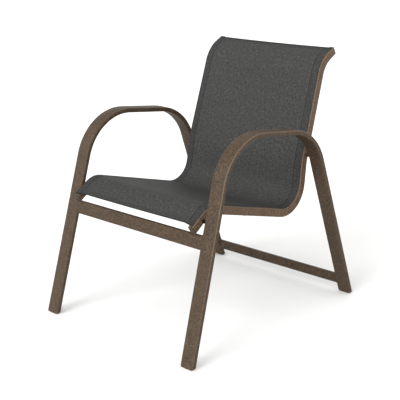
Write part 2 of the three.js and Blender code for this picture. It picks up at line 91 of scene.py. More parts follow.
# Welds: ground collars at the cross tubes and rippled beads at the spreaders
COLLAR, COLLAR_START = 4.5, 1.5
COLLAR_PROUD, COLLAR_CROWN, COLLAR_RIPPLE, COLLAR_RIPPLE_TURN = 0.04, 0.2, 0.18, 0.9
COLLAR_SINK, COLLAR_DEPTH, COLLAR_LATE = 1.2, 0.5, 0.25
COLLAR_ROWS, COLLAR_POINTS = 17, 220
BEAD, BEAD_SINK, BEAD_RIPPLES, BEAD_RIPPLE_SHARE = 2.4, 0.2, 20, 0.06
BEAD_ROWS, BEAD_POINTS = 7, 120

# Sling rails
RAIL_GAP, RAIL_WIDTH, RAIL_DEPTH, RAIL_CORNER, RAIL_WALL = 11.7, 19.0, 27.2, 3.0, 1.5
GROOVE_INSET, GROOVE_RADIUS, SLOT_WIDTH, LIP = 5.1, 3.8, 3.0, 1.6
NOSE_CORNER_Z, NOSE_SETBACK, NOSE_LENGTH, NOSE_DROP = 446.4, 25.1, 85.9, math.radians(34)
SEAT_SLOPE, SEAT_SETBACK = math.radians(14.25), 106.9
LUMBAR_LENGTH, LUMBAR_LEAN = 178.0, math.radians(7.5)
BACK_LENGTH, BACK_LEAN = 325.6, math.radians(17)
TIP_LENGTH, TIP_RISE = 70.5, math.radians(28.5)
RAIL_RADII = (57.6, 90.9, 232.6, 88.6)
PLUG_HEAD, PLUG_EDGE, PLUG_BACK_INSET, PLUG_LEAST_CORNER = 2.4, 1.1, 6.0, 0.4
PLUG_FACE_INSETS, PLUG_RINGS = (3.0, 8.0), 6

# Sling
CLOTH = 1.2
SPLINE_RADIUS, HEM_WIDTH = 2.0, 26.0
NOSE_HEM_INSET, TIP_HEM_INSET = 3.0, 5.0
NOSE_RISE, NOSE_RISE_LENGTH = 6.0, 45.0
SEAT_SAG, BACK_SAG, FREE_EDGE_SAG = 9.0, 7.0, 2.0
POCKET_INNER_EASE, POCKET_OUTER_EASE, POCKET_STEP = 0.6, 0.7, 0.5
SAME_HEIGHT = 0.01
SPAN_POINTS, HEM_POINTS, POCKET_STEPS = 31, 16, 10
UNDERSIDE_SETBACKS, HEM_EDGE_STEP = (8, 16), 0.5
PUCKER, PUCKER_PITCH, PUCKER_WIDTH = 0.12, 8.0, 3.5
SEAM_DEPTH, SEAM_WIDTH = 0.45, 1.4
THREAD_RADIUS, THREAD_SIDES, THREAD_INSET, THREAD_SETBACK = 0.4, 6, 4, 0.9
STITCH, STITCH_SINK, STITCH_SWING, STITCH_STEP = 4.4, 0.35, 0.55, 0.7

# Spreader bars and fasteners
SPREADER_RADIUS, SPREADER_BOW, SPREADER_RUN_ON = 9.5, 20.0, 6.0
SPREADER_SIDES, SPREADER_ROWS, SPREADER_FITS = 40, 61, 5
SEAT_SPREADER_SETBACK, BACK_SPREADER_DROP = 190.0, 118.0
BOLT_RADIUS, BOLT_HEAD_RADIUS, BOLT_HEAD_HEIGHT, BOLT_GRIP = 3.0, 5.6, 3.3, 10.0
BOLT_CHAMFER, HEAD_FLAT, HEAD_RIM, AXIS_RADIUS = 0.8, 3.0, 0.5, 0.2
SOCKET_RADIUS, SOCKET_DEPTH, SOCKET_LIP = 2.0, 1.8, 0.5
TURNED_SIDES, DOME_RINGS = 36, 7
SPACER_RADII, SPACER_CHAMFER, SPACER_GAP, HOLE_PLAY = {"front": 6.0, "rear": 5.0}, 1, 0.1, 0.3

# Lights and camera, in metres and degrees, and the camera's lens in millimetres
SUN_DISTANCE = 4
CAMERA_AZIMUTH, CAMERA_ELEVATION, CAMERA_DISTANCE = 42.9, 16.1, 3.0445
CAMERA_AIM = (0.0811, -0.1127, 0.4078)
LENS, SENSOR = 85.56, 36.0


# Lines, outlines and grids

def read_at(wanted, along, line):
    """The columns of a line, known at some distances along it, read at others."""
    return np.column_stack([np.interp(wanted, along, column) for column in line.T])


def unit(heading):
    """The direction of a heading in the side view, (cos, sin)."""
    return np.stack([np.cos(heading), np.sin(heading)], -1)


def crossing(place_a, heading_a, place_b, heading_b):
    """Where two straight lines of the side view cross."""
    a, b = unit(heading_a), unit(heading_b)
    gap = np.asarray(place_b) - place_a
    return place_a + a * (gap[0] * b[1] - gap[1] * b[0]) / (a[0] * b[1] - a[1] * b[0])


def bend_line(corners, radii, spacing):
    """Straight runs between corners, each inner corner rounded to its radius, as stations (y, z, heading).

    On an arc the place is the centre plus the radius times the direction square to the heading. The line
    is then read again at even distances."""
    corners = np.asarray(corners, float)
    spans = np.diff(corners, axis=0)
    headings = np.arctan2(spans[:, 1], spans[:, 0])
    places, facing = [corners[:1]], [headings[:1]]
    for corner, radius, before, after in zip(corners[1:], radii, headings, headings[1:]):
        turn = (after - before + math.pi) % (2 * math.pi) - math.pi
        side = math.copysign(QUARTER, turn)
        centre = corner - unit(before) * radius * math.tan(abs(turn) / 2) + unit(before + side) * radius
        heading = facing[-1][-1] + turn * np.linspace(0, 1, ARC_POINTS)
        places.append(centre + unit(heading - side) * radius)
        facing.append(heading)
    places.append(corners[-1:])
    facing.append(facing[-1][-1:])
    line = np.column_stack([np.concatenate(places), np.concatenate(facing)])
    along = distances(line)
    return read_at(np.linspace(0, along[-1], int(along[-1] / spacing) + 2), along, line)


def trimmed(line, start, end):
    """The line without its first and last few millimetres, read again at as many even distances."""
    along = distances(line)
    return read_at(np.linspace(start, along[-1] - end, len(line)), along, line)


def distances(line):
    """How far along the line each station or point lies."""
    return np.concatenate([[0], np.cumsum(np.hypot(*np.diff(line[:, :2], axis=0).T))])


def arc(x, y, radius, start, end, steps):
    """Points of an arc, ends included."""
    angle = np.linspace(start, end, steps + 1)
    return np.stack([x + radius * np.cos(angle), y + radius * np.sin(angle)], -1)


def rounded_rectangle(width, height, radius, steps, inset=0, least=0):
    """A rectangle whose four corners are quarter circles, counterclockwise from its right side.

    It may be drawn inset from those sizes, and its corners then keep at least the least radius."""
    radius = max(radius - inset, least)
    x, y = (width - 2 * inset) / 2 - radius, (height - 2 * inset) / 2 - radius
    centres = ((x, y), (-x, y), (-x, -y), (x, -y))
    corners = [arc(*c, radius, k * QUARTER, (k + 1) * QUARTER, steps) for k, c in enumerate(centres)]
    return np.concatenate(corners)


def circle(radius, sides):
    """A circle as an open ring of points."""
    return arc(0, 0, radius, 0, 2 * math.pi, sides)[:-1]


def evenly(ring, count):
    """A closed ring read again at even distances, with the direction that points away from it."""
    closed = np.vstack([ring, ring[:1]])
    along = distances(closed)
    points = read_at(np.linspace(0, along[-1], count, endpoint=False), along, closed)
    tangent = np.roll(points, -1, 0) - np.roll(points, 1, 0)
    away = np.stack([tangent[:, 1], -tangent[:, 0]], -1)
    return points, away / np.linalg.norm(away, axis=1, keepdims=True)


def corner_share(ring):
    """How much a point of a closed outline lies on an outer corner: 0 on flats and 1 in a corner's middle.

    It is the fourth power of the sine of twice the outline's heading, where the outline turns outwards."""
    before, after = ring - np.roll(ring, 1, 0), np.roll(ring, -1, 0) - ring
    ahead = sum(step / np.linalg.norm(step, axis=1, keepdims=True) for step in (before, after))
    heading = np.arctan2(ahead[:, 1], ahead[:, 0])
    outwards = before[:, 0] * after[:, 1] - before[:, 1] * after[:, 0] > STRAIGHT
    return np.sin(2 * heading) ** 4 * outwards


def swept(section, line):
    """A section carried along a line: the station's place, plus x across, plus y square to the heading."""
    section = np.broadcast_to(section, (len(line),) + np.shape(section)[-2:])
    y = line[:, None, 0] - section[..., 1] * np.sin(line[:, None, 2])
    z = line[:, None, 1] + section[..., 1] * np.cos(line[:, None, 2])
    return np.stack([section[..., 0] + 0 * y, y, z], -1)


# The two sides

def turned_about(axis, angle):
    """The matrix of a turn about one axis."""
    c, s = math.cos(angle), math.sin(angle)
    if axis == "x":
        return np.array([[1, 0, 0], [0, c, -s], [0, s, c]])
    if axis == "y":
        return np.array([[c, 0, s], [0, 1, 0], [-s, 0, c]])
    return np.array([[c, -s, 0], [s, c, 0], [0, 0, 1]])


def side_turn(side):
    """How a side's own frame is turned in the chair's: it leans inwards and toes in."""
    return turned_about("y", -side * LEG_SPLAY) @ turned_about("z", side * TOE_IN)


def in_side(points, side):
    """Points of a side's own frame, in the chair's frame."""
    return points @ side_turn(side).T + [side * FOOT_TREAD / 2, 0, 0]


def reach_of(face, y, z):
    """How far out from the chair's middle the left side's plane x = face lies, at a given y and z."""
    turn = side_turn(1)
    return FOOT_TREAD / 2 + (face - turn[1, 0] * y - turn[2, 0] * z) / turn[0, 0]


SIDES = {"left": 1, "right": -1}
FRONT_FOOT = np.array([-FOOT_SPAN / 2, 0.0])
REAR_FOOT = np.array([FOOT_SPAN / 2, 0.0])
FRONT_LEG = QUARTER - FRONT_LEAN
REAR_LEG = QUARTER + REAR_LEAN
FRAME_FACE = -ARM_WIDTH / 2
RAIL_OUTER = FRAME_FACE - RAIL_GAP
RAIL_INNER = RAIL_OUTER - RAIL_WIDTH
RAIL_MIDDLE = (RAIL_OUTER + RAIL_INNER) / 2
FRONT_FACE = RAIL_DEPTH / 2
GROOVE_X = RAIL_OUTER - GROOVE_INSET
GROOVE_Y = FRONT_FACE - LIP - math.sqrt(GROOVE_RADIUS ** 2 - (SLOT_WIDTH / 2) ** 2)
CHAMBER_TOP = GROOVE_Y - GROOVE_RADIUS - RAIL_WALL
CHAMBER_BOTTOM = RAIL_WALL - FRONT_FACE
CHAMBER_Y = (CHAMBER_TOP + CHAMBER_BOTTOM) / 2

arm_point = np.array([0.0, ARM_HEIGHT])
arm_line = bend_line(
    [
        FRONT_FOOT + unit(FRONT_LEG) * GLIDE_HEIGHT,
        crossing(FRONT_FOOT, FRONT_LEG, arm_point, -ARM_FALL),
        crossing(REAR_FOOT, REAR_LEG, arm_point, -ARM_FALL),
        REAR_FOOT + unit(REAR_LEG) * GLIDE_HEIGHT,
    ],
    (FRONT_ARM_RADIUS, REAR_ARM_RADIUS),
    ARM_SPACING,
)

nose_corner = np.array([FRONT_FOOT[0] + NOSE_CORNER_Z / math.tan(FRONT_LEG) + NOSE_SETBACK, NOSE_CORNER_Z])
seat_corner = crossing(nose_corner, -SEAT_SLOPE, REAR_FOOT - [SEAT_SETBACK, 0], REAR_LEG)
seat_length = float(np.hypot(*(seat_corner - nose_corner)))
lumbar_corner = seat_corner + unit(QUARTER - LUMBAR_LEAN) * LUMBAR_LENGTH
tip_corner = lumbar_corner + unit(QUARTER - BACK_LEAN) * BACK_LENGTH
rail_corners = [
    nose_corner - unit(NOSE_DROP) * NOSE_LENGTH,
    nose_corner,
    seat_corner,
    lumbar_corner,
    tip_corner,
    tip_corner + unit(TIP_RISE) * TIP_LENGTH,
]
rail_line = bend_line(rail_corners, RAIL_RADII, RAIL_SPACING)


# Meshes

def skin(points, across=True, along=False, chart=None, corner=0.0):
    """A grid of points, closed across its columns, along its rows, or neither.

    It may carry its place on the cloth, and how much wear and painted highlight a tube's corner carries at
    each column or point."""
    return {"points": points, "across": across, "along": along, "chart": chart, "corner": corner}


def hollow_tube(outside, inside, corner=0.0):
    """The skins of a tube from its outer and inner grids: both walls and the rims at both ends."""
    rims = [skin(np.stack([outside[k], inside[k]])) for k in (0, -1)]
    return [skin(outside, corner=corner), skin(inside)] + rims


def lid(ring, hole=None):
    """A flat end over a ring of points, with or without a hole."""
    loops = [ring] if hole is None else [ring, hole]
    triangles = tessellate_polygon([[Vector(p) for p in loop] for loop in loops])
    return {"points": np.concatenate(loops), "triangles": np.array(triangles)}


def grid_faces(part):
    """The faces of one skin or lid, as rows of corner numbers."""
    if "triangles" in part:
        return part["triangles"]
    rows, columns = part["points"].shape[:2]
    number = np.arange(rows * columns).reshape(rows, columns)
    if part["across"]:
        number = np.hstack([number, number[:, :1]])
    if part["along"]:
        number = np.vstack([number, number[:1]])
    corners = [number[:-1, :-1], number[:-1, 1:], number[1:, 1:], number[1:, :-1]]
    return np.stack(corners, -1).reshape(-1, 4)


def placed(name, data):
    """A mesh, light or camera as an object of the scene."""
    made = bpy.data.objects.new(name, data)
    bpy.context.scene.collection.objects.link(made)
    return made


def made_piece(name, parts, finish, stands_for=(), sharp=35):
    """One object from skins and lids: joined where they meet, faces outwards, smooth up to a sharp angle."""
    points, charts, corners_at, faces, count = [], [], [], [], 0
    for part in parts:
        faces.append(grid_faces(part) + count)
        flat = part["points"].reshape(-1, 3)
        points.append(flat)
        chart = part.get("chart")
        charts.append(np.zeros((len(flat), 2)) if chart is None else chart.reshape(-1, 2))
        corner = part.get("corner", 0.0)
        corners_at.append(np.broadcast_to(corner, part["points"].shape[:-1]).ravel())
        count += len(flat)
    places = np.concatenate(points) * MILLIMETRE
    corners = np.concatenate([f.ravel() for f in faces]).astype(np.int32)
    sizes = np.concatenate([np.full(len(f), f.shape[1], np.int32) for f in faces])
    starts = np.concatenate([[0], np.cumsum(sizes)[:-1]]).astype(np.int32)

    mesh = bpy.data.meshes.new(name)
    mesh.vertices.add(len(places))
    mesh.vertices.foreach_set("co", places.astype(np.float32).ravel())
    mesh.loops.add(len(corners))
    mesh.loops.foreach_set("vertex_index", corners)
    mesh.polygons.add(len(sizes))
    mesh.polygons.foreach_set("loop_start", starts)
    mesh.update(calc_edges=True)
    if any(part.get("chart") is not None for part in parts):
        layer = mesh.uv_layers.new(name="cloth_chart")
        chart = (np.concatenate(charts) * MILLIMETRE)[corners]
        layer.data.foreach_set("uv", chart.astype(np.float32).ravel())
    # The corner_share attribute carries corner wear and a painted highlight.
    wear_and_highlight = mesh.attributes.new("corner_share", "FLOAT", "POINT")
    wear_and_highlight.data.foreach_set("value", np.concatenate(corners_at).astype(np.float32))

    welded = bmesh.new()
    welded.from_mesh(mesh)
    bmesh.ops.remove_doubles(welded, verts=welded.verts, dist=SAME_PLACE)
    bmesh.ops.recalc_face_normals(welded, faces=welded.faces)
    welded.to_mesh(mesh)
    welded.free()
    mesh.polygons.foreach_set("use_smooth", np.ones(len(mesh.polygons), bool))
    mesh.set_sharp_from_angle(angle=math.radians(sharp))

    made = placed(name, mesh)
    mesh.materials.append(finish)
    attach(made, "root")
    if stands_for:
        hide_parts(*stands_for)
    return made


# Finishes

def tone(code, gain=1.0):
    """A colour from its hexadecimal code, made linear and lightened or darkened by a gain."""
    parts = [int(code[k:k + 2], 16) / 255 for k in (1, 3, 5)]
    linear = [c / 12.92 if c <= 0.04045 else ((c + 0.055) / 1.055) ** 2.4 for c in parts]
    return [min(1.0, c * gain) for c in linear] + [1.0]


class Signal:
    """A number that some node puts out. An expression on signals adds the Math nodes it needs."""

    def __init__(self, finish, socket):
        self.finish, self.socket = finish, socket

    def maths(self, operation, *values):
        node = self.finish.node("ShaderNodeMath", dict(enumerate(values)), operation=operation)
        return Signal(self.finish, node.outputs[0])

    def __add__(self, other):
        return self.maths("ADD", self, other)

    def __sub__(self, other):
        return self.maths("SUBTRACT", self, other)

    def __rsub__(self, other):
        return self.maths("SUBTRACT", other, self)

    def __mul__(self, other):
        return self.maths("MULTIPLY", self, other)

    __radd__ = __add__
    __rmul__ = __mul__

    def size(self):
        return self.maths("ABSOLUTE", self)

    def whole(self):
        return self.maths("FLOOR", self)

    def rest(self):
        return self.maths("FRACT", self)

    def sine(self):
        return self.maths("SINE", self)

    def higher(self, other):
        return self.maths("MAXIMUM", self, other)

    def above(self, other):
        return self.maths("GREATER_THAN", self, other)

    def rising(self, low, high):
        """0 below low and 1 above high, with a smooth rise between them."""
        node = self.finish.node(
            "ShaderNodeMapRange", {"Value": self, "From Min": low, "From Max": high},
            interpolation_type="SMOOTHSTEP",
        )
        return Signal(self.finish, node.outputs["Result"])


class Nodes:
    """A node tree and the two ways to add to it."""

    def __init__(self, tree):
        self.tree = tree

    def node(self, kind, sockets=None, **settings):
        """A node of one kind, its settings made first, then the values or links of its sockets."""
        made = self.tree.nodes.new(kind)
        for name, value in settings.items():
            setattr(made, name, value)
        for name, value in (sockets or {}).items():
            self.feed(made.inputs[name], value)
        return made

    def feed(self, socket, value):
        """Link a signal or an output to a socket, or set the socket to a plain value."""
        if isinstance(value, Signal):
            value = value.socket
        if isinstance(value, bpy.types.NodeSocket):
            self.tree.links.new(value, socket)
        else:
            socket.default_value = value


class Finish(Nodes):
    """A material under construction: its nodes, and the shader that they end in."""

    def __init__(self, name, **shader):
        self.material = bpy.data.materials.new(name)
        self.material.use_nodes = True
        super().__init__(self.material.node_tree)
        self.tree.nodes.clear()
        self.shader = self.node("ShaderNodeBsdfPrincipled", shader)
        self.node("ShaderNodeOutputMaterial", {"Surface": self.shader.outputs[0]})

    def set(self, **values):
        """Give the shader's sockets their values or links. This returns the finished material."""
        for name, value in values.items():
            self.feed(self.shader.inputs[name.replace("_", " ").title()], value)
        return self.material

    def place(self):
        """The place of a point on the piece, in metres."""
        return self.node("ShaderNodeTexCoord").outputs["Object"]

    def noise(self, place, scale, detail, roughness=0.5, stretch=None):
        """A soft random pattern, from 0 to 1, with features about 1 / scale metres wide."""
        if stretch is not None:
            stretched = self.node("ShaderNodeVectorMath", {0: place, 1: stretch}, operation="MULTIPLY")
            place = stretched.outputs[0]
        made = self.node(
            "ShaderNodeTexNoise",
            {"Vector": place, "Scale": scale, "Detail": detail, "Roughness": roughness},
        )
        return Signal(self, made.outputs[0])

    def mixed(self, share, first, second, blend="MIX"):
        """Colour first where the share is 0 and second where it is 1."""
        made = self.node(
            "ShaderNodeMix", {0: share, 6: first, 7: second}, data_type="RGBA", blend_type=blend)
        return made.outputs[2]

    def layered(self, base, code, *layers):
        """A base colour under layers of (share, gain), each mixing in the code's tone at its gain."""
        for share, gain in layers:
            base = self.mixed(share, base, tone(code, gain))
        return base

    def bump(self, height, depth, strength):
        """A surface that stands up by the depth in metres where the height is 1."""
        made = self.node("ShaderNodeBump", {"Height": height, "Distance": depth, "Strength": strength})
        return made.outputs["Normal"]


WEAR_AND_HIGHLIGHT_CODE = "#40362c"  # the pale coat at the corners, where it has worn thin and where a highlight is painted on


def powder_coat(name, code):
    """Matt textured powder coat: cloudy brown with light specks and dark pits.

    It is paler at a tube's corners, where it thins and where a highlight is painted on."""
    coat = Finish(name, Metallic=0.0, **{"Specular IOR Level": 0.2})
    place = coat.place()
    corner = Signal(coat, coat.node("ShaderNodeAttribute", attribute_name="corner_share").outputs["Fac"])
    cloud = coat.noise(place, 34, 3.0, 0.6)
    mottle = coat.noise(place, 190, 4.0, 0.8)
    grain = coat.noise(place, 640, 2.0, 0.6)
    speck = mottle.rising(0.515, 0.64)
    pit = 1.0 - mottle.rising(0.35, 0.48)
    base = coat.layered(
        coat.mixed(cloud.rising(0.35, 0.65), tone(code, 0.9), tone(code, 1.1)), code,
        (speck * 0.9, 2.4),
        (pit * 0.95, 0.26),
        (grain.rising(0.54, 0.66) * 0.5, 2.0),
        ((1.0 - grain.rising(0.34, 0.46)) * 0.5, 0.4),
    )
    # Paler corners: worn coat and a painted highlight, by the corner_share attribute.
    base = coat.mixed(corner * (0.4 + mottle * 0.8), base, tone(WEAR_AND_HIGHLIGHT_CODE, 2.4))
    return coat.set(
        base_color=base,
        roughness=0.46 + mottle * 0.2,
        normal=coat.bump(grain + mottle * 1.5, 0.0003, 0.6),
    )


def moulded_plastic(name, code, roughness=0.55, shine=0.2):
    """Plain moulded plastic: a faint cloud and the fine spark texture of its mould."""
    plastic = Finish(name, Metallic=0.0, **{"Specular IOR Level": shine})
    place = plastic.place()
    cloud = plastic.noise(place, 40, 3.0)
    spark = plastic.noise(place, 1400, 2.0)
    base = plastic.mixed(cloud, tone(code, 0.88), tone(code, 1.14))
    normal = plastic.bump(spark, 0.00008, 0.6)
    return plastic.set(base_color=base, roughness=roughness + spark * 0.15, normal=normal)


def plain_steel(name, code):
    """Stainless steel with fine drawn lines."""
    steel = Finish(name, Metallic=1.0)
    place = steel.place()
    drawn = steel.noise(place, 900, 3.0, 0.6, stretch=(0.1, 1.0, 1.0))
    base = steel.mixed(drawn, tone(code, 0.75), tone(code, 1.15))
    return steel.set(base_color=base, roughness=0.26 + drawn * 0.2, normal=steel.bump(drawn, 0.00004, 0.5))


# Yarns and bands of the cloth, in metres. A band is the stretch over which its edge fades.
WARP_PITCH, WEFT_PITCH = 0.0017, 0.0014
HEM_BAND, SEAM_SHADE_BAND, RIDGE_HIGHLIGHT_BAND = (-0.0004, 0.0004), (0.0036, 0.006), (-0.006, -0.0025)
FOLD_BAND, FRONT_EDGE_SHADE_BAND, TOP_EDGE_SHADE_BAND = (0.018, 0.021), (0.004, 0.006), (0.007, 0.009)


def woven_cloth(name, code, stitch_reach, cloth_length):
    """Plain weave of coated yarns, read from the cloth's own chart in metres.

    Where the cell numbers of warp and weft add up to an odd number the warp lies on top, else the weft.
    A yarn's height is a half sine across it, times a shallower half sine along it over each crossing."""
    cloth = Finish(name, Metallic=0.0, **{"Specular IOR Level": 0.2})
    chart = cloth.node("ShaderNodeUVMap", uv_map="cloth_chart").outputs[0]
    split = cloth.node("ShaderNodeSeparateXYZ", {0: chart})
    across, along = Signal(cloth, split.outputs[0]), Signal(cloth, split.outputs[1])
    warp, weft = across * (1 / WARP_PITCH), along * (1 / WEFT_PITCH)
    warp_part, weft_part = warp.rest(), weft.rest()
    warp_swell, weft_swell = (warp_part * math.pi).sine(), (weft_part * math.pi).sine()
    warp_up = ((warp.whole() + weft.whole()) * 0.5).rest().above(0.25)
    over = warp_up * warp_swell * (0.55 + 0.45 * weft_swell)
    under = (1.0 - warp_up) * weft_swell * (0.55 + 0.45 * warp_swell)
    height = over + under
    gap = 1.0 - height.rising(0.1, 0.4)

    slant = {"Vector": chart, "Rotation": (0, 0, 0.8), "Scale": (2.0, 1.0, 1.0)}
    slanted = cloth.node("ShaderNodeMapping", slant, vector_type="TEXTURE")
    cloud = cloth.noise(chart, 22, 3.0, 0.55)
    patch = cloth.noise(slanted.outputs[0], 190, 4.0, 0.8)
    shades = [
        cloth.node("ShaderNodeTexWhiteNoise", {"W": number}, noise_dimensions="1D").outputs["Value"]
        for number in (warp.whole(), weft.whole() + 0.37)
    ]
    yarns = (Signal(cloth, shades[0]) + shades[1]) * 0.5
    base = cloth.layered(
        cloth.mixed(yarns, tone(code, 0.82), tone(code, 1.24)), code,
        (warp_up * 0.5, 1.12),
        (patch.rising(0.5, 0.64) * 0.95, 2.1),
        ((1.0 - patch.rising(0.36, 0.5)) * 0.9, 0.3),
        (cloud.rising(0.3, 0.7) * 0.35, 0.84),
        (gap * 0.85, 0.16),
    )

    beyond = across.size() - stitch_reach
    from_top = cloth_length - along
    hem = beyond.rising(*HEM_BAND)
    # The seam band is painted shade in the seam's groove.
    seam = hem * (1.0 - beyond.rising(*SEAM_SHADE_BAND))
    # A painted highlight on the cloth's ridge beside the seam.
    ridge_highlight = beyond.rising(*RIDGE_HIGHLIGHT_BAND) * (1.0 - hem)
    fold = 1.0 - along.rising(*FOLD_BAND) * from_top.rising(*FOLD_BAND)
    # Painted shade along the cloth's front and top edges.
    ends = 1.0 - along.rising(*FRONT_EDGE_SHADE_BAND) * from_top.rising(*TOP_EDGE_SHADE_BAND)
    shade = cloth.mixed(hem, (1.0, 1.0, 1.0, 1.0), (0.8, 0.805, 0.815, 1.0))
    shade = cloth.mixed(fold * 0.6, shade, (0.7, 0.7, 0.7, 1.0), "MULTIPLY")
    shade = cloth.mixed(ridge_highlight * 0.4, shade, (1.4, 1.4, 1.4, 1.0))
    shade = cloth.mixed(seam * 0.85, shade, (0.42, 0.43, 0.45, 1.0))
    shade = cloth.mixed(ends * 0.85, shade, (0.35, 0.35, 0.35, 1.0))
    base = cloth.mixed(1.0, base, shade, "MULTIPLY")
    return cloth.set(
        base_color=base,
        roughness=0.66 + gap * 0.2,
        normal=cloth.bump(height + patch * 0.3, 0.0004, 0.6),
    )


frame_coat = powder_coat("brown_frame_coat", "#392d21")
rail_coat = powder_coat("brown_rail_coat", "#4a3a2b")
glide_plastic = powder_coat("brown_glide_plastic", "#3b2f22")
plug_plastic = moulded_plastic("brown_plug_plastic", "#3a2f25")
spacer_plastics = {
    # The front spacer is near black as painted shade: it stands for the shadowed gap between rail and leg.
    "front": moulded_plastic("painted_shade_front_spacer_plastic", "#060504", 0.85, 0.1),
    "rear": moulded_plastic("brown_spacer_plastic", "#3a2d20", 0.85, 0.1),
}
thread_finish = moulded_plastic("grey_seam_thread", "#3a3a3a", 0.8)
rod_plastic = moulded_plastic("hem_rod_plastic", "#2d2c2b")
fastener_steel = plain_steel("fastener_steel", "#a5a4a0")


# Frames, cross tubes and glides

def arm_frame(name, side):
    """A flat tube: outer and inner rounded rectangles carried along the arm's line, joined at both ends.

    Wear and a painted highlight mark its outer top corner most, and less towards the feet."""
    outer = rounded_rectangle(ARM_WIDTH, ARM_THICKNESS, ARM_CORNER, ARM_STEPS)
    inner = rounded_rectangle(ARM_WIDTH, ARM_THICKNESS, ARM_CORNER, ARM_STEPS, inset=TUBE_WALL)
    outside = in_side(swept(outer, arm_line), side)
    inside = in_side(swept(inner, arm_line), side)
    handled_and_highlit = np.where((outer[:, 0] * side > 0) & (outer[:, 1] > 0), 1.0, WEAR_AND_HIGHLIGHT_ELSEWHERE)
    height_share = np.clip((outside[:, :, 2].mean(1) - WEAR_AND_HIGHLIGHT_FROM) / (WEAR_AND_HIGHLIGHT_TO - WEAR_AND_HIGHLIGHT_FROM), 0, 1)
    height_share = WEAR_AND_HIGHLIGHT_AT_FEET + (1 - WEAR_AND_HIGHLIGHT_AT_FEET) * height_share
    parts = hollow_tube(outside, inside, corner_share(outer) * handled_and_highlit * height_share[:, None])
    made_piece(f"{name}_side_frame", parts, frame_coat, [f"{name}_arm_frame"])


def weld_bead(rim, away, back):
    """A weld round a joint, as a closed ring.

    rim are the tube's points on the face it meets, away points from the tube along that face and back
    points from the face along the tube. A point is the rim plus the bead's size times the quarter turn
    from away to back. The size swells a little with each ripple."""
    ripple = np.sin(np.linspace(0, 2 * math.pi * BEAD_RIPPLES, len(rim), endpoint=False))
    swell = BEAD * (1 + BEAD_RIPPLE_SHARE * ripple)
    turn = np.linspace(0, QUARTER, BEAD_ROWS)[:, None, None]
    fillet = rim + swell[:, None] * (np.cos(turn) * away + np.sin(turn) * back)
    sunk = rim - BEAD_SINK * (away + back)
    return skin(np.concatenate([fillet, sunk[None]]), along=True)


def joint_collar(outline, y, z, foot, heading):
    """The weld of a cross tube's left end, ground smooth, as a closed ring from the tube to its leg.

    The outline grows by the collar's size and is laid on the leg: a point's distance from the leg's middle
    is measured along its inner face, round its corner, then along its front or rear face. On its way there
    a point follows a hollow quarter circle if it ends on the inner face, else a smooth step. The ring comes
    back inside the metal."""
    ring, away = evenly(outline, COLLAR_POINTS)
    places = ring + [y, z]
    grown = places + COLLAR * away
    middle = foot[0] + grown[:, 1] / math.tan(heading)
    off = grown[:, 0] - middle
    flat = (ARM_THICKNESS / 2 - ARM_CORNER) / math.sin(heading)
    beyond = np.clip(np.abs(off) - flat, 0, None)
    turn = np.clip(beyond / ARM_CORNER, 0, QUARTER)
    over = turn / QUARTER
    x = FRAME_FACE + ARM_CORNER * (1 - np.cos(turn)) + beyond - ARM_CORNER * turn
    on_leg = np.sign(off) * (np.minimum(np.abs(off), flat) + ARM_CORNER * np.sin(turn) / math.sin(heading))
    ends = in_side(np.column_stack([x, middle + on_leg, grown[:, 1]]), 1)
    outwards = np.column_stack([0 * x, away])
    start_x = reach_of(FRAME_FACE, *places.T) - COLLAR * (1 - over) - COLLAR_START * over
    starts = np.column_stack([start_x, places])

    share = np.linspace(0, 1, COLLAR_ROWS)[:, None]
    late = np.clip((share - COLLAR_LATE) / (1 - COLLAR_LATE), 0, 1)
    quarter = share * QUARTER
    run_x = (1 - over) * np.sin(quarter) + over * share
    run = (1 - over) * (1 - np.cos(quarter)) + over * late ** 2 * (3 - 2 * late)
    ripple = COLLAR_RIPPLE * (1 - over) * np.sin(np.arange(len(ring)) * COLLAR_RIPPLE_TURN)
    proud = COLLAR_PROUD + (COLLAR_CROWN + ripple) * np.sin(math.pi * share) ** 2
    rows = starts + (ends - starts) * np.stack([run_x, run, run], -1) + proud[..., None] * outwards
    inside = np.stack([ends - outwards * COLLAR_SINK + [COLLAR_DEPTH, 0, 0], starts - outwards])
    return np.concatenate([rows, inside])


def cross_tube(name, node, height, top, forward, foot, heading):
    """A flat tube across the chair, each of its edges run to the side frames' inner faces, and its welds.

    Its middle lies on the legs' own line at its height, and forward of it by some millimetres."""
    z = top - height / 2
    y = foot[0] + z / math.tan(heading) - forward

    def ends(ring):
        """The outline's points where they meet the right side frame, then the left one."""
        places = ring + [y, z]
        reach = reach_of(FRAME_FACE - CLEARANCE, *places.T)
        return np.stack([np.column_stack([sign * reach, places]) for sign in (-1, 1)])

    outer = rounded_rectangle(CROSS_THICKNESS, height, CROSS_CORNER, CROSS_STEPS)
    inner = rounded_rectangle(CROSS_THICKNESS, height, CROSS_CORNER, CROSS_STEPS, inset=TUBE_WALL)
    parts = hollow_tube(ends(outer), ends(inner))
    collar = joint_collar(outer, y, z, foot, heading)
    parts += [skin(collar * [sign, 1, 1], along=True) for sign in (-1, 1)]
    made_piece(name, parts, frame_coat, [node])


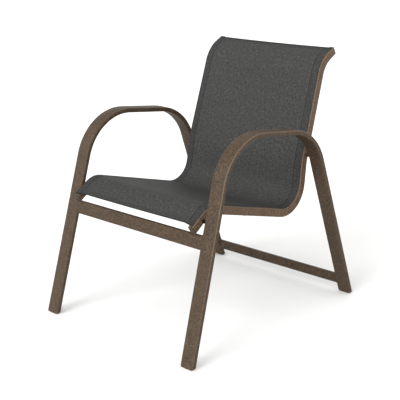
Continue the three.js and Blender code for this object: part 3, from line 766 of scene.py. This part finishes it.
def foot_glide(name, side, end, foot, heading):
    """A leg cap: the tube's outline run down to the floor, its lower corners rounded across the chair.

    Rings shrink from the outline to the middle. Each point runs down the leg's direction to the floor,
    less an ellipse's rise near the outer corners and that of a small rounded rim."""
    turn = side_turn(side) @ turned_about("x", heading - QUARTER)
    place = in_side(np.array([0.0, foot[0], 0.0]), side) * [1, 1, 0]
    outline = rounded_rectangle(ARM_WIDTH, ARM_THICKNESS, ARM_CORNER, GLIDE_STEPS)
    rings = [
        rounded_rectangle(ARM_WIDTH, ARM_THICKNESS, ARM_CORNER, GLIDE_STEPS, inset, GLIDE_LEAST_CORNER)
        for inset in GLIDE_RING_INSETS
    ]
    rings = np.array(rings + [outline * [GLIDE_MIDDLE, 0.0]])
    inset = np.append(GLIDE_RING_INSETS, ARM_THICKNESS / 2)
    flat = np.concatenate([rings, np.zeros(rings.shape[:2] + (1,))], -1) @ turn.T
    beyond = np.abs(flat[..., 0]) - (ARM_WIDTH / 2 - GLIDE_CORNER)
    beyond = np.clip(beyond, 0, GLIDE_CORNER * ELLIPSE_END)
    corner_rise = GLIDE_RISE * (1 - np.sqrt(1 - (beyond / GLIDE_CORNER) ** 2))
    rim_rise = GLIDE_RIM - np.sqrt(GLIDE_RIM ** 2 - np.clip(GLIDE_RIM - inset, 0, GLIDE_RIM) ** 2)
    down = (corner_rise + rim_rise[:, None] - flat[..., 2]) / turn[2, 2]
    sole = place + flat + down[..., None] * turn[:, 2]
    top = place + flat[[-1, -2, 0]] + (GLIDE_HEIGHT - GLIDE_TOP_GAP) * turn[:, 2]
    made_piece(f"{name}_{end}_foot_glide", [skin(np.concatenate([top, sole]))],
               glide_plastic, [f"{name}_{end}_glide"])


for name, side in SIDES.items():
    arm_frame(name, side)
    foot_glide(name, side, "front", FRONT_FOOT, FRONT_LEG)
    foot_glide(name, side, "rear", REAR_FOOT, REAR_LEG)

cross_tube("front_cross_tube", "front_cross_rail", FRONT_RAIL_HEIGHT, FRONT_RAIL_TOP, FRONT_RAIL_FORWARD,
           FRONT_FOOT, FRONT_LEG)
cross_tube("rear_stretcher_tube", "rear_stretcher", STRETCHER_HEIGHT, STRETCHER_TOP, 0,
           REAR_FOOT, REAR_LEG)


# Sling rails and their plugs

def keyhole(radius, neck, top, steps):
    """A neck down to a round groove and up again, from left to right."""
    angle = math.asin(neck / radius)
    eye = arc(GROOVE_X, GROOVE_Y, radius, QUARTER + angle, math.pi * 2.5 - angle, steps)
    return np.vstack([[GROOVE_X - neck, top], eye, [GROOVE_X + neck, top]])


def rail_section():
    """The rail's outline: rounded corners and the keyhole groove in its front face."""
    left, right, high = RAIL_INNER + RAIL_CORNER, RAIL_OUTER - RAIL_CORNER, FRONT_FACE - RAIL_CORNER
    return np.vstack([
        arc(left, high, RAIL_CORNER, math.pi, QUARTER, RAIL_STEPS),
        keyhole(GROOVE_RADIUS, SLOT_WIDTH / 2, FRONT_FACE, GROOVE_STEPS),
        arc(right, high, RAIL_CORNER, QUARTER, 0, RAIL_STEPS),
        arc(right, -high, RAIL_CORNER, 0, -QUARTER, RAIL_STEPS),
        arc(left, -high, RAIL_CORNER, -QUARTER, -math.pi, RAIL_STEPS),
    ])


def sling_rail(name, side):
    """The slotted extrusion carried along the rail's line, with its hollow chamber."""
    chamber = rounded_rectangle(
        RAIL_WIDTH - 2 * RAIL_WALL, CHAMBER_TOP - CHAMBER_BOTTOM, RAIL_WALL, CHAMBER_STEPS)
    chamber = chamber + [RAIL_MIDDLE, CHAMBER_Y]
    section = rail_section()
    outside = in_side(swept(section * [side, 1], rail_line), side)
    inside = in_side(swept(chamber * [side, 1], rail_line), side)
    ends = [lid(outside[k], inside[k]) for k in (0, -1)]
    # The rail's front corners carry most wear and painted highlight.
    wear_and_highlight = corner_share(section[::-1])[::-1] * np.where(section[:, 1] > 0, 1.0, WEAR_AND_HIGHLIGHT_BEHIND_RAIL)
    parts = [skin(outside, corner=wear_and_highlight), skin(inside)] + ends
    made_piece(f"{name}_rail", parts, rail_coat, [f"{name}_sling_rail"])


def rail_plug(name, side, end, station, outward):
    """An end plug: the rail's outline, straight for its rim, then rounded over to a flat face."""
    turn = np.linspace(0, QUARTER, PLUG_RINGS)
    inset = np.concatenate([[PLUG_BACK_INSET, 0], PLUG_EDGE * (1 - np.cos(turn)), PLUG_FACE_INSETS])
    rounded = PLUG_HEAD - PLUG_EDGE + PLUG_EDGE * np.sin(turn)
    depth = np.concatenate([[CLEARANCE] * 2, rounded, [PLUG_HEAD] * len(PLUG_FACE_INSETS)])
    rings = [
        rounded_rectangle(RAIL_WIDTH, RAIL_DEPTH, RAIL_CORNER, RAIL_STEPS, i, PLUG_LEAST_CORNER)
        for i in inset
    ]
    rings = np.array(rings) + [RAIL_MIDDLE, 0]
    direction = unit(station[2]) * outward
    line = np.column_stack([station[:2] + depth[:, None] * direction, np.full(len(depth), station[2])])
    head = in_side(swept(rings * [side, 1], line), side)
    parts = [skin(head), lid(head[0]), lid(head[-1])]
    made_piece(f"{name}_{end}_end_plug", parts, plug_plastic, [f"{name}_{end}_plug"])


for name, side in SIDES.items():
    sling_rail(name, side)
    rail_plug(name, side, "nose", rail_line[0], -1)
    rail_plug(name, side, "tip", rail_line[-1], 1)


# Sling

CLOTH_BOTTOM = FRONT_FACE + CLEARANCE
CLOTH_TOP = CLOTH_BOTTOM + CLOTH * 2
GROOVE_REACH = FOOT_TREAD / 2 + GROOVE_X
STITCH_REACH = GROOVE_REACH - SLOT_WIDTH / 2 - HEM_WIDTH


def hem_places(section, line):
    """Points of the sling from (reach across the chair, height over the rail's line) at each station.

    The hems follow the rails, and between them the cloth is drawn straight across. Its middle starts a
    little higher than the hems, so the front edge is lifted there."""
    reach = np.abs(section[..., 0])
    held = np.maximum(reach, STITCH_REACH)
    places = swept(np.stack([held - FOOT_TREAD / 2, section[..., 1]], -1), line)
    share = np.clip((GROOVE_REACH - reach) / (GROOVE_REACH - STITCH_REACH), 0, 1)
    fade = np.clip(1 - distances(line) / NOSE_RISE_LENGTH, 0, 1)[:, None] ** 2
    heading = line[:, 2][:, None]
    rise = NOSE_RISE * share * fade
    places = in_side(places + np.stack([0 * rise, rise * np.cos(heading), rise * np.sin(heading)], -1), 1)
    places[..., 0] *= section[..., 0] / held
    return places


hem_line = trimmed(rail_line, NOSE_HEM_INSET, TIP_HEM_INSET)
cloth_length = distances(hem_line)[-1]


def sling_sections():
    """The sling's closed outline at every station: top and underside, joined round both hem pockets.

    Across, the cloth hangs below a straight line by the sag times one less the squared share of the
    reach. Along, the sag is a half sine over the seat and another over the back. The seam draws a
    shallow groove with small puckers beside it."""
    along = distances(hem_line)
    bend = NOSE_LENGTH + seat_length
    seat = along < bend
    swell = np.sin(math.pi * np.where(seat, along / bend, (along - bend) / (along[-1] - bend)))
    sag = FREE_EDGE_SAG + (np.where(seat, SEAT_SAG, BACK_SAG) - FREE_EDGE_SAG) * swell

    single = CLOTH_TOP - CLOTH
    span = STITCH_REACH * np.sin(np.linspace(0, QUARTER, SPAN_POINTS))
    hem = np.linspace(STITCH_REACH, GROOVE_REACH - CLOTH - POCKET_INNER_EASE, HEM_POINTS)[1:]
    top = np.concatenate([span, hem, [GROOVE_REACH + CLOTH - POCKET_OUTER_EASE]])
    pocket = keyhole(GROOVE_RADIUS - CLEARANCE, CLOTH, CLOTH_TOP - POCKET_STEP, POCKET_STEPS)[::-1]
    pocket = pocket + [FOOT_TREAD / 2, 0]
    pocket[-1, 1] = CLOTH_BOTTOM
    folded = np.append(GROOVE_REACH - np.array(UNDERSIDE_SETBACKS), STITCH_REACH + HEM_EDGE_STEP)
    top, folded, underside = (
        np.column_stack([run, 0 * run + height])
        for run, height in ((top, CLOTH_TOP), (folded, CLOTH_BOTTOM), (span[::-1], single))
    )
    half = np.vstack([top, pocket, folded, underside])
    section = np.vstack([half, (half * [-1, 1])[-2:0:-1]])
    reach, height = np.abs(section[:, 0]), section[:, 1]
    drop = sag[:, None] * np.clip(1 - (reach / STITCH_REACH) ** 2, 0, None)
    off_seam = reach - STITCH_REACH
    pucker = PUCKER * np.sin(along[:, None] * (2 * math.pi / PUCKER_PITCH))
    pucker = pucker * np.exp(-(off_seam / PUCKER_WIDTH) ** 2)
    groove = SEAM_DEPTH * np.exp(-(off_seam / SEAM_WIDTH) ** 2)
    outside = (height > CLOTH_TOP - SAME_HEIGHT) | (np.abs(height - single) < SAME_HEIGHT)
    heights = height - drop + np.where(outside, pucker - groove, 0)
    return np.stack(np.broadcast_arrays(section[:, 0], heights), -1)


def seam_thread(name, side):
    """One hem's thread: a fine tube whose height is a cosine along the seam, over and under the cloth."""
    share, fine_share = (np.linspace(0, 1, n) for n in (len(hem_line), int(cloth_length / STITCH_STEP)))
    line = trimmed(read_at(fine_share, share, hem_line), THREAD_INSET, THREAD_INSET)
    height = CLOTH_TOP - STITCH_SINK + STITCH_SWING * np.cos(2 * math.pi * distances(line) / STITCH)
    ring = circle(THREAD_RADIUS, THREAD_SIDES) + [STITCH_REACH + THREAD_SETBACK, 0]
    reach = np.broadcast_to(ring[:, 0] * side, (len(line), THREAD_SIDES))
    tube = hem_places(np.stack([reach, ring[:, 1] + height[:, None]], -1), line)
    return made_piece(f"{name}_seam_thread", [skin(tube), lid(tube[0]), lid(tube[-1])],
                      thread_finish)


sling_cloth = woven_cloth(
    "charcoal_woven_cloth", "#30302f", STITCH_REACH * MILLIMETRE, cloth_length * MILLIMETRE)
sections = sling_sections()
cloth_places = hem_places(sections, hem_line)
cloth_chart = np.stack(np.broadcast_arrays(sections[..., 0], distances(hem_line)[:, None]), -1)
# The cut edges are filled like the flat outline a third of the way along
flat_outline = np.insert(sections[len(sections) // 3], 2, 0, axis=1)
cloth_ends = [dict(lid(flat_outline), points=cloth_places[k]) for k in (0, -1)]
sling_piece = made_piece("woven_sling", [skin(cloth_places, chart=cloth_chart)] + cloth_ends,
                         sling_cloth, ["sling"], sharp=60)
threads = [seam_thread(name, side) for name, side in SIDES.items()]
cut_width = 2 * (GROOVE_REACH + HEM_WIDTH + math.pi * (SPLINE_RADIUS + CLOTH / 2))
cut_width * MILLIMETRE


# Spreader bars

def spreader_bar(name, corner, heading, off):
    """A bowed round tube between the rails, its ends on the rails' inner faces, with a weld round each.

    It lies some way off a corner of the rail, and its centre line bows away from the sitter by a parabola.
    Each point slides along the tube until it lies on the rail's face, solved by a few repeated steps."""
    end = in_side(np.array([RAIL_INNER, *(corner + unit(heading) * off)]), 1)
    out = np.array([0, -math.sin(heading), math.cos(heading)])
    along = np.array([0, math.cos(heading), math.sin(heading)])
    reach = end[0] + SPREADER_RUN_ON

    def at(x, ring):
        """Points of a ring carried to each x on the bowed centre line."""
        bow = CHAMBER_Y - SPREADER_BOW * (1 - (x / reach) ** 2)
        points = end * [0, 1, 1] + bow[..., None] * out
        points = points + ring[..., :1] * along + ring[..., 1:] * out
        points[..., 0] = x
        return points

    def tube(ring, face):
        """The ring carried from one rail's face to the other's."""
        limit = np.full(len(ring), reach)
        for _ in range(SPREADER_FITS):
            points = at(limit, ring)
            limit = reach_of(face, points[:, 1], points[:, 2])
        shares = np.linspace(-1, 1, SPREADER_ROWS)[:, None]
        return at(shares * limit, ring)

    face = RAIL_INNER - CLEARANCE
    radii = (SPREADER_RADIUS, SPREADER_RADIUS - TUBE_WALL)
    parts = hollow_tube(*(tube(circle(radius, SPREADER_SIDES), face) for radius in radii))
    ring, away = evenly(circle(SPREADER_RADIUS, BEAD_POINTS), BEAD_POINTS)
    rim = tube(ring, RAIL_INNER)
    spread = away[:, :1] * along + away[:, 1:] * out
    parts += [weld_bead(rim[k], spread, np.array([back, 0, 0])) for k, back in ((0, 1), (-1, -1))]
    made_piece(f"{name}_spreader_bar", parts, rail_coat, [f"{name}_spreader"])


spreader_bar("seat", nose_corner, -SEAT_SLOPE, SEAT_SPREADER_SETBACK)
spreader_bar("back", tip_corner, QUARTER - BACK_LEAN, -BACK_SPREADER_DROP)


# Bolts and spacers

def turned(side, place, outline, corners=()):
    """A surface turned about the side frame's X axis, from rows of (x, radius).

    Rows marked in corners follow a hexagon: its radius times cos 30 over cos of the angle from the
    nearest flat's middle."""
    angle = np.linspace(0, 2 * math.pi, TURNED_SIDES, endpoint=False)
    sixth = math.pi / 3
    flats = math.cos(sixth / 2) / np.cos(angle % sixth - sixth / 2)
    shape = np.ones((len(outline), TURNED_SIDES))
    shape[list(corners)] = flats
    radius = np.array(outline)[:, 1:] * shape
    x = np.broadcast_to(np.array(outline)[:, :1], radius.shape)
    y, z = place[0] + radius * np.cos(angle), place[1] + radius * np.sin(angle)
    return in_side(np.stack([x * side, y, z], -1), side)


def spacer(name, side, end, place):
    """A ring between rail and frame, chamfered at both rims."""
    low, high = RAIL_OUTER + SPACER_GAP, FRAME_FACE - SPACER_GAP
    inner, outer, edge = BOLT_RADIUS + HOLE_PLAY, SPACER_RADII[end], SPACER_CHAMFER
    outline = [(low, inner), (low, outer - edge), (low + edge, outer)]
    outline += [(high - edge, outer), (high, outer - edge), (high, inner)]
    made_piece(f"{name}_{end}_spacer_ring", [skin(turned(side, place, outline), along=True)],
               spacer_plastics[end], [f"{name}_{end}_spacer"])


def button_bolt(name, side, end, place):
    """A button-head bolt: domed head with a hexagon socket, on a plain shank with a chamfered tip."""
    base = RAIL_INNER - CLEARANCE
    top = base - BOLT_HEAD_HEIGHT
    dome = np.linspace(0, QUARTER, DOME_RINGS)
    tip = FRAME_FACE + BOLT_GRIP
    socket = [(top + SOCKET_DEPTH, AXIS_RADIUS), (top + SOCKET_DEPTH, SOCKET_RADIUS), (top, SOCKET_RADIUS)]
    head = [(top, SOCKET_RADIUS + SOCKET_LIP)]
    head += list(zip(top + (BOLT_HEAD_HEIGHT - HEAD_RIM) * (1 - np.cos(dome)),
                     HEAD_FLAT + (BOLT_HEAD_RADIUS - HEAD_FLAT) * np.sin(dome)))
    head += [(base, BOLT_HEAD_RADIUS), (base, BOLT_RADIUS)]
    shank = [(tip - BOLT_CHAMFER, BOLT_RADIUS), (tip, BOLT_RADIUS - BOLT_CHAMFER), (tip, AXIS_RADIUS)]
    shape = turned(side, place, socket + head + shank, corners=[0, 1, 2])
    made_piece(f"{name}_{end}_button_bolt", [skin(shape), lid(shape[0]), lid(shape[-1])],
               fastener_steel, [f"{name}_{end}_bolt"])


def middle_of(node, side):
    """The middle of a node's box, as (y, z) in its side's own frame."""
    low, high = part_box(node)
    middle = (np.array(low) + np.array(high)) / 2 / MILLIMETRE
    return ((middle - [side * FOOT_TREAD / 2, 0, 0]) @ side_turn(side))[1:]


for name, side in SIDES.items():
    for end in ("front", "rear"):
        place = middle_of(f"{name}_{end}_bolt", side)
        spacer(name, side, end, place)
        button_bolt(name, side, end, place)


# Finishes of the solids that stay

kept_finishes = {"spline": rod_plastic, "front_insert": fastener_steel, "rear_insert": fastener_steel}
for node, finish in kept_finishes.items():
    for name in SIDES:
        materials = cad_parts[f"{name}_{node}"].data.materials
        materials.clear()
        materials.append(finish)


# Floor, light and camera

def floor(half):
    """A wide pale floor, from its half width in metres."""
    mesh = bpy.data.meshes.new("studio_floor")
    corners = [(-half, -half, 0), (half, -half, 0), (half, half, 0), (-half, half, 0)]
    mesh.from_pydata(corners, [], [(0, 1, 2, 3)])
    paint = Finish("pale_floor", Roughness=0.9)
    cloud = paint.noise(paint.place(), 0.6, 2.0)
    pale = paint.mixed(cloud, (0.712, 0.712, 0.707, 1), (0.732, 0.732, 0.727, 1))
    mesh.materials.append(paint.set(base_color=pale))
    made = placed("studio_floor", mesh)


def towards(azimuth, elevation):
    """The direction of something seen at an azimuth and elevation: azimuth 0 is in front of the chair."""
    a, e = math.radians(azimuth), math.radians(elevation)
    return Vector((math.sin(a) * math.cos(e), -math.cos(a) * math.cos(e), math.sin(e)))


def aimed(name, data, back, place):
    """A light or camera at a place, looking against a direction."""
    made = placed(name, data)
    made.location = place
    made.rotation_euler = (-back).to_track_quat("-Z", "Y").to_euler()
    return made


def soft_sun(name, azimuth, elevation, strength, spread):
    """A light from far away, as wide as its spread in degrees."""
    light = bpy.data.lights.new(name, "SUN")
    light.energy, light.angle = strength, math.radians(spread)
    back = towards(azimuth, elevation)
    aimed(name, light, back, back * SUN_DISTANCE)


def sky(level, overhead, dark_azimuth, dark_loss):
    """Even light from all round, weaker overhead and on one side.

    Its strength falls in step with the direction's height, and the dark loss is the share that it loses in
    step with how far the direction points to the dark side."""
    world = bpy.data.worlds.new("studio_sky")
    world.use_nodes = True
    nodes = Nodes(world.node_tree)
    direction = nodes.node("ShaderNodeTexCoord").outputs["Generated"]
    split = nodes.node("ShaderNodeSeparateXYZ", {0: direction})
    x, y, height = (Signal(nodes, output) for output in split.outputs)
    dark = towards(dark_azimuth, 0)
    strength = level - height.higher(0.0) * (level - overhead)
    strength = strength * (1.0 - (x * dark.x + y * dark.y).higher(0.0) * dark_loss)
    background = nodes.tree.nodes["Background"]
    nodes.feed(background.inputs["Color"], (1.0, 1.0, 0.995, 1))
    nodes.feed(background.inputs["Strength"], strength)
    bpy.context.scene.world = world


def camera():
    """The photograph's view, solved from the chair."""
    view = bpy.data.cameras.new("photo_camera")
    view.lens, view.sensor_width, view.sensor_fit = LENS, SENSOR, "HORIZONTAL"
    view.clip_start, view.clip_end = 0.05, 200
    back = towards(CAMERA_AZIMUTH, CAMERA_ELEVATION)
    place = Vector(CAMERA_AIM) + back * CAMERA_DISTANCE
    bpy.context.scene.camera = aimed("photo_camera", view, back, place)


floor(half=60)
sky(level=1.9, overhead=1.0, dark_azimuth=CAMERA_AZIMUTH + 180, dark_loss=0.33)
soft_sun("front_light", azimuth=3, elevation=31, strength=2.38, spread=36)
soft_sun("side_light", azimuth=55, elevation=30, strength=1.0, spread=30)
soft_sun("far_side_light", azimuth=-43, elevation=36, strength=0.25, spread=16)
bpy.context.scene.view_settings.view_transform = "Standard"
camera()
